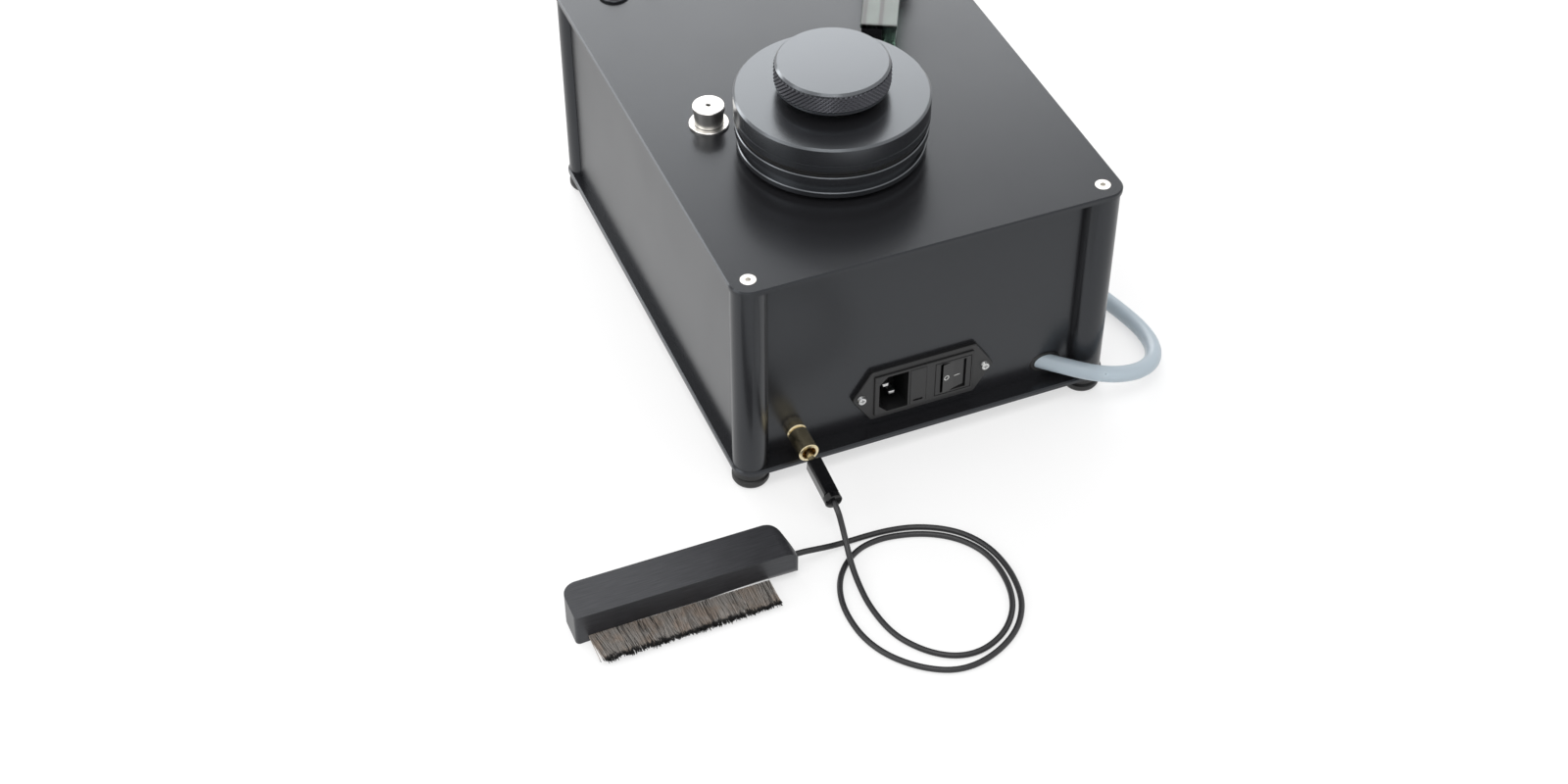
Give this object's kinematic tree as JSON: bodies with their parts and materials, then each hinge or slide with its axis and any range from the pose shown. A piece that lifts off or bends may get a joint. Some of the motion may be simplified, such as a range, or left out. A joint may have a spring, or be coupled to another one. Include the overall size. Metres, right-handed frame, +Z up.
{
  "type": "record cleaning machine",
  "caption": "Compact vacuum record cleaning machine with a clamped label platter, a swinging suction arm, a drain hose and an earthed brush on a lead.",
  "frame": {"origin": "on the surface that the machine stands on, midway across the case and midway between its front edge and the tip of the ground post", "axes": "+Z up, the controls at the front towards -Y, the power inlet, ground post and hose at the rear towards +Y, the ground post on the +X side"},
  "size_m": [0.4053, 0.484, 0.2093],
  "materials": {
    "anodised_black": "fine bead-blasted satin black anodised aluminium",
    "polished_steel": "polished stainless steel",
    "plain_steel": "plain machined steel",
    "raw_aluminium": "machined aluminium",
    "gold_brass": "gold-plated brass",
    "black_plastic": "fine-textured black moulded plastic",
    "gloss_black": "smooth glossy black plastic",
    "black_rubber": "matte black rubber",
    "silicone": "translucent milky silicone",
    "clear_acrylic": "clear acrylic, faintly green at its edges",
    "natural_plastic": "natural moulded polypropylene",
    "bushing_bronze": "oil-filled sintered bronze",
    "velvet": "short black velvet pile",
    "hair": "fine grey-brown brush hair with dark tips",
    "lead_jacket": "smooth black flexible cable jacket",
    "board_green": "green solder mask with dark components",
    "core_steel": "varnished transformer laminations with taped coil",
    "fuse_glass": "glass tube fuse"
  },
  "bodies": {
    "case": {"base_plate": "anodised_black", "top_plate": "anodised_black", "corner_posts": "anodised_black", "front_panel": "anodised_black", "rear_panel": "anodised_black", "left_panel": "anodised_black", "right_panel": "anodised_black", "top_screws": "polished_steel", "feet": "black_rubber", "foot_screws": "plain_steel", "inlet_housing": "black_plastic", "inlet_pins": "plain_steel", "inlet_screws": "plain_steel", "ground_post": "gold_brass", "ground_collar": "gold_brass", "ground_nut": "gold_brass", "bearing_housing": "raw_aluminium", "bearing_bushes": "bushing_bronze", "drive_belt": "black_rubber", "motor_bracket": "plain_steel", "drive_motor": "plain_steel", "waste_tank": "natural_plastic", "tank_lid": "natural_plastic", "vent_neck": "polished_steel", "arm_bearing": "anodised_black", "button_bodies": "anodised_black", "vacuum_housing": "black_plastic", "arm_pipe": "silicone", "vacuum_duct": "black_rubber", "drain_pipe": "silicone", "drain_grommet": "black_rubber", "transformer": "core_steel", "control_board": "board_green", "drain_hose": "silicone", "drain_stopper": "black_rubber", "brush_handle": "gloss_black", "brush_hair": "hair", "plug_pin": "plain_steel", "plug_body": "black_plastic", "brush_lead": "lead_jacket"},
    "platter_set": {"platter": "anodised_black", "platter_mat": "black_rubber", "platter_shaft": "polished_steel", "platter_pulley": "natural_plastic"},
    "motor_rotor": {"motor_pulley": "raw_aluminium"},
    "clamp": {"clamp_disc": "anodised_black", "clamp_seal": "black_rubber"},
    "knob": {"clamp_knob": "anodised_black"},
    "drawer": {"fuse_drawer": "black_plastic", "fuse": "fuse_glass"},
    "rocker": {"switch_rocker": "gloss_black"},
    "filler_cap": {"vent_cap": "polished_steel"},
    "arm_lift_column": {"arm_column": "polished_steel"},
    "arm": {"arm_body": "anodised_black", "arm_cover": "clear_acrylic", "arm_lips": "velvet"},
    "reverse_key": {"reverse_button": "polished_steel"},
    "forward_key": {"forward_button": "polished_steel"},
    "vacuum_key": {"vacuum_button": "polished_steel"},
    "rotor": {"vacuum_impeller": "raw_aluminium"}
  },
  "joints": [
    {"name": "platter_spin", "type": "hinge", "parent": "case", "child": "platter_set", "pos_m": [0.019, 0.049, 0.16], "axis": [0, 0, 1], "continuous": true},
    {"name": "motor_spin", "type": "hinge", "parent": "case", "child": "motor_rotor", "pos_m": [-0.053, 0.049, 0.11], "axis": [0, 0, 1], "continuous": true},
    {"name": "clamp_lift", "type": "slide", "parent": "platter_set", "child": "clamp", "axis": [0, 0, 1], "range_m": [0, 0.03]},
    {"name": "knob_turn", "type": "hinge", "parent": "clamp", "child": "knob", "pos_m": [0.019, 0.049, 0.195], "axis": [0, 0, 1], "range_deg": [0, 540]},
    {"name": "arm_lift", "type": "slide", "parent": "case", "child": "arm_lift_column", "axis": [0, 0, 1], "range_m": [0, 0.01]},
    {"name": "arm_swing", "type": "hinge", "parent": "arm_lift_column", "child": "arm", "pos_m": [-0.09, -0.113, 0.18], "axis": [0, 0, 1], "range_deg": [-7, 45]},
    {"name": "power_rocker", "type": "hinge", "parent": "case", "child": "rocker", "pos_m": [-0.0184, 0.1429, 0.0397], "axis": [0, 0, 1], "range_deg": [-18, 0]},
    {"name": "fuse_drawer_slide", "type": "slide", "parent": "case", "child": "drawer", "axis": [0, 1, 0], "range_m": [0, 0.018]},
    {"name": "cap_lift", "type": "slide", "parent": "case", "child": "filler_cap", "axis": [0, 0, 1], "range_m": [0, 0.025]},
    {"name": "reverse_press", "type": "slide", "parent": "case", "child": "reverse_key", "axis": [0, 0, -1], "range_m": [0, 0.002], "stiffness_N_per_m": 250},
    {"name": "forward_press", "type": "slide", "parent": "case", "child": "forward_key", "axis": [0, 0, -1], "range_m": [0, 0.002], "stiffness_N_per_m": 250},
    {"name": "vacuum_press", "type": "slide", "parent": "case", "child": "vacuum_key", "axis": [0, 0, -1], "range_m": [0, 0.002], "stiffness_N_per_m": 250},
    {"name": "vacuum_spin", "type": "hinge", "parent": "case", "child": "rotor", "pos_m": [0.0485, -0.093, 0.06], "axis": [0, 0, 1], "continuous": true}
  ],
  "couplings": [
    {"joint": "motor_spin", "follows": "platter_spin", "ratio": 3.5}
  ]
}
